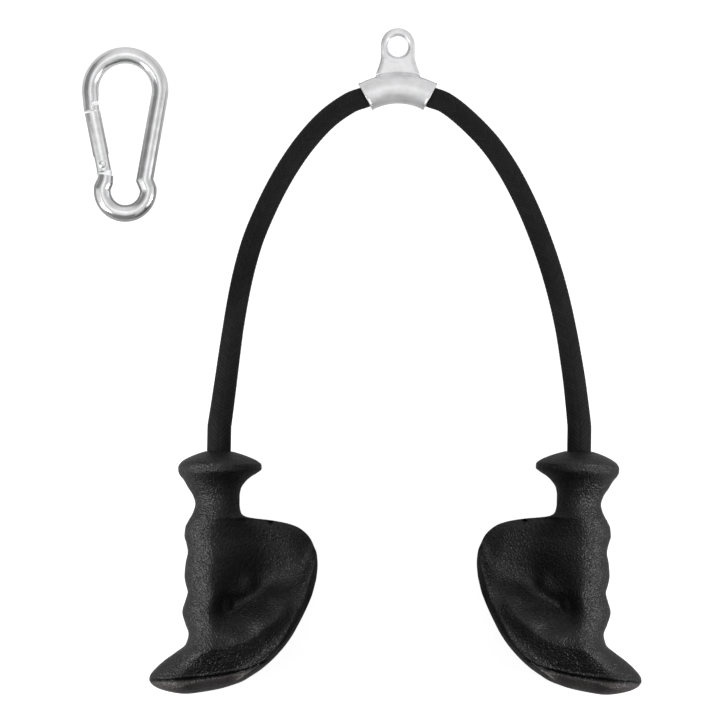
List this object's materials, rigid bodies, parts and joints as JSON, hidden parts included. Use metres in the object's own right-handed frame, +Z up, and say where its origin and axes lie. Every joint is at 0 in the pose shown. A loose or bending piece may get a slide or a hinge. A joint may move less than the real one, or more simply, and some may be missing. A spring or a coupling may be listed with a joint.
{
  "type": "triceps rope attachment",
  "caption": "Cable-machine rope attachment: one braided rope through a cast hanger, a swivelling moulded palm-rest grip on each end, and a loose snap hook.",
  "frame": {"origin": "on the table that the set lies on, under the middle of the box of the hanger, the grips and the snap hook, measured without the rope", "axes": "+Z up from the table, +Y from the grips towards the hanger's eye, +X to the right as the set is seen from above with the snap hook at the left"},
  "size_m": [0.3224, 0.381, 0.0464],
  "materials": {
    "satin_casting": "satin bead-blasted zinc-aluminium casting",
    "black_braid": "matte black braided polyester",
    "black_rubber": "black moulded rubber with a fine pebble grain",
    "grey_nylon": "matte injection-moulded nylon",
    "zinc_plated_steel": "zinc-plated steel",
    "bright_plating": "bright plated steel wire, slightly streaked"
  },
  "bodies": {
    "hanger": {"hanger_casting": "satin_casting", "rope_center": "black_braid"},
    "left_leg": {"rope_left": "black_braid", "washer_left": "zinc_plated_steel", "ferrule_left": "zinc_plated_steel"},
    "right_leg": {"rope_right": "black_braid", "washer_right": "zinc_plated_steel", "ferrule_right": "zinc_plated_steel"},
    "left_handle": {"grip_left": "black_rubber", "liner_left": "grey_nylon", "end_plug_left": "grey_nylon"},
    "right_handle": {"grip_right": "black_rubber", "liner_right": "grey_nylon", "end_plug_right": "grey_nylon"},
    "snap_hook": {"snap_hook_frame": "bright_plating", "gate_rivet": "bright_plating"},
    "gate": {"snap_hook_gate": "bright_plating", "latch_pin": "bright_plating", "gate_spring": "zinc_plated_steel"},
    "plunger": {"gate_plunger": "bright_plating"}
  },
  "joints": [
    {"name": "left_leg_swing", "type": "hinge", "parent": "hanger", "child": "left_leg", "pos_m": [0.00018, 0.15185, 0.0087], "axis": [0, 0, 1], "range_deg": [-22, 8]},
    {"name": "right_leg_swing", "type": "hinge", "parent": "hanger", "child": "right_leg", "pos_m": [0.03742, 0.15185, 0.0087], "axis": [0, 0, 1], "range_deg": [-8, 22]},
    {"name": "left_grip_swivel", "type": "hinge", "parent": "left_leg", "child": "left_handle", "pos_m": [-0.0834, -0.0506, 0.0232], "axis": [0.0175, 0.9998, 0], "continuous": true},
    {"name": "right_grip_swivel", "type": "hinge", "parent": "right_leg", "child": "right_handle", "pos_m": [0.1222, -0.0506, 0.0232], "axis": [0.014, 0.9999, 0], "continuous": true},
    {"name": "snap_hook_lift", "type": "slide", "parent": "hanger", "child": "snap_hook", "axis": [0, 0, 1], "range_m": [0, 0.06]},
    {"name": "gate_opening", "type": "hinge", "parent": "snap_hook", "child": "gate", "pos_m": [-0.1501, 0.1135, 0.0048], "axis": [0, 0, -1], "range_deg": [0, 35], "stiffness_Nm_per_rad": 0.15, "springref_deg": -28.65},
    {"name": "plunger_slide", "type": "slide", "parent": "gate", "child": "plunger", "axis": [-0.1959, 0.9806, 0], "range_m": [0, 0.0011], "deforming": ["gate_spring"]}
  ],
  "couplings": [
    {"joint": "plunger_slide", "follows": "gate_opening", "m_per_rad": 0.0018}
  ]
}
